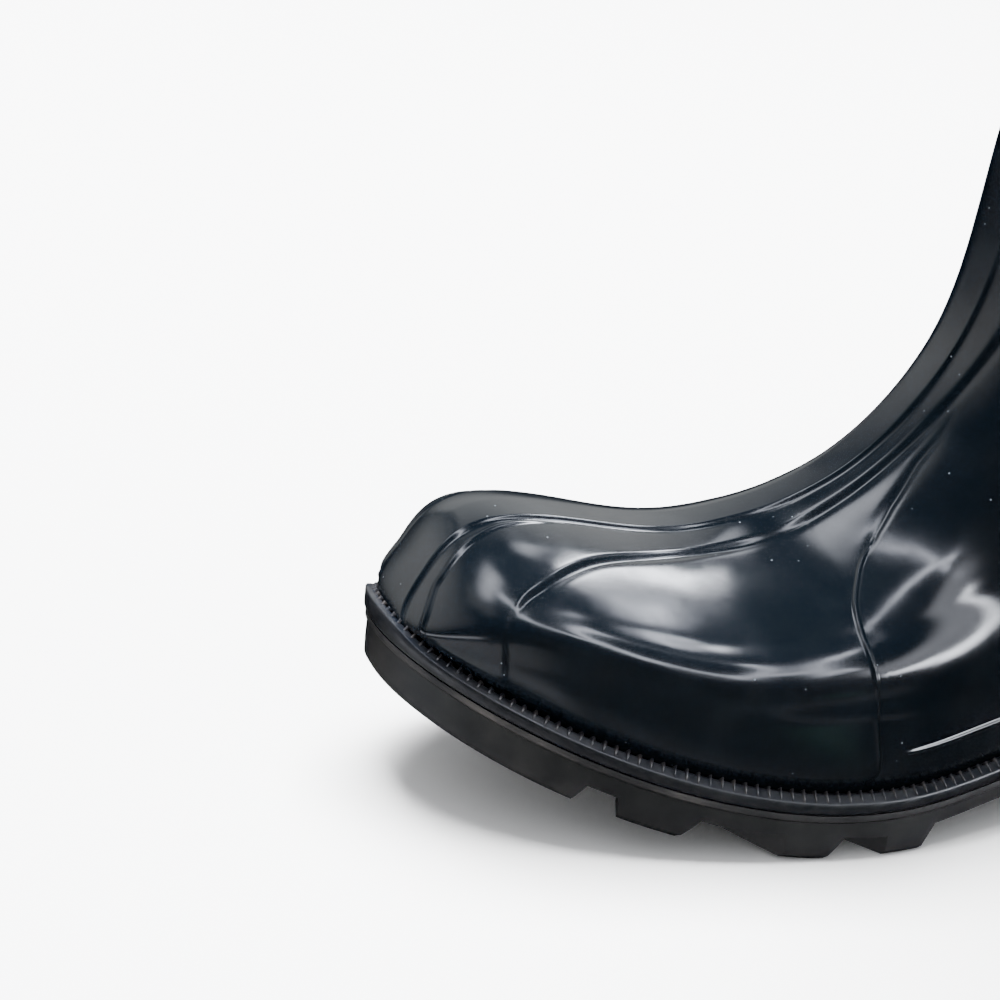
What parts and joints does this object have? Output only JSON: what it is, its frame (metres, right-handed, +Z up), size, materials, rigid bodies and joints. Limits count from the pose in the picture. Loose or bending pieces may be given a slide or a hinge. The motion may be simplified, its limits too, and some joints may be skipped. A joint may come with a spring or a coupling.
{
  "type": "mining boot",
  "caption": "Tall moulded rubber mining boot for the left foot, with a lugged sole, knurled welt and hollow shaft open at the collar.",
  "frame": {"origin": "on the floor, under the middle of the boot's box", "axes": "+Z up, toe towards -Y, the outer (little toe) side towards +X"},
  "size_m": [0.1152, 0.3, 0.385],
  "materials": {
    "sole_rubber": "matt moulded rubber, dusty",
    "welt_rubber": "satin moulded rubber",
    "upper_rubber": "glossy lacquered rubber",
    "insole_felt": "needled felt"
  },
  "bodies": {
    "root": {"outsole": "sole_rubber", "welt": "welt_rubber", "upper": "upper_rubber", "insole": "insole_felt"}
  },
  "joints": []
}
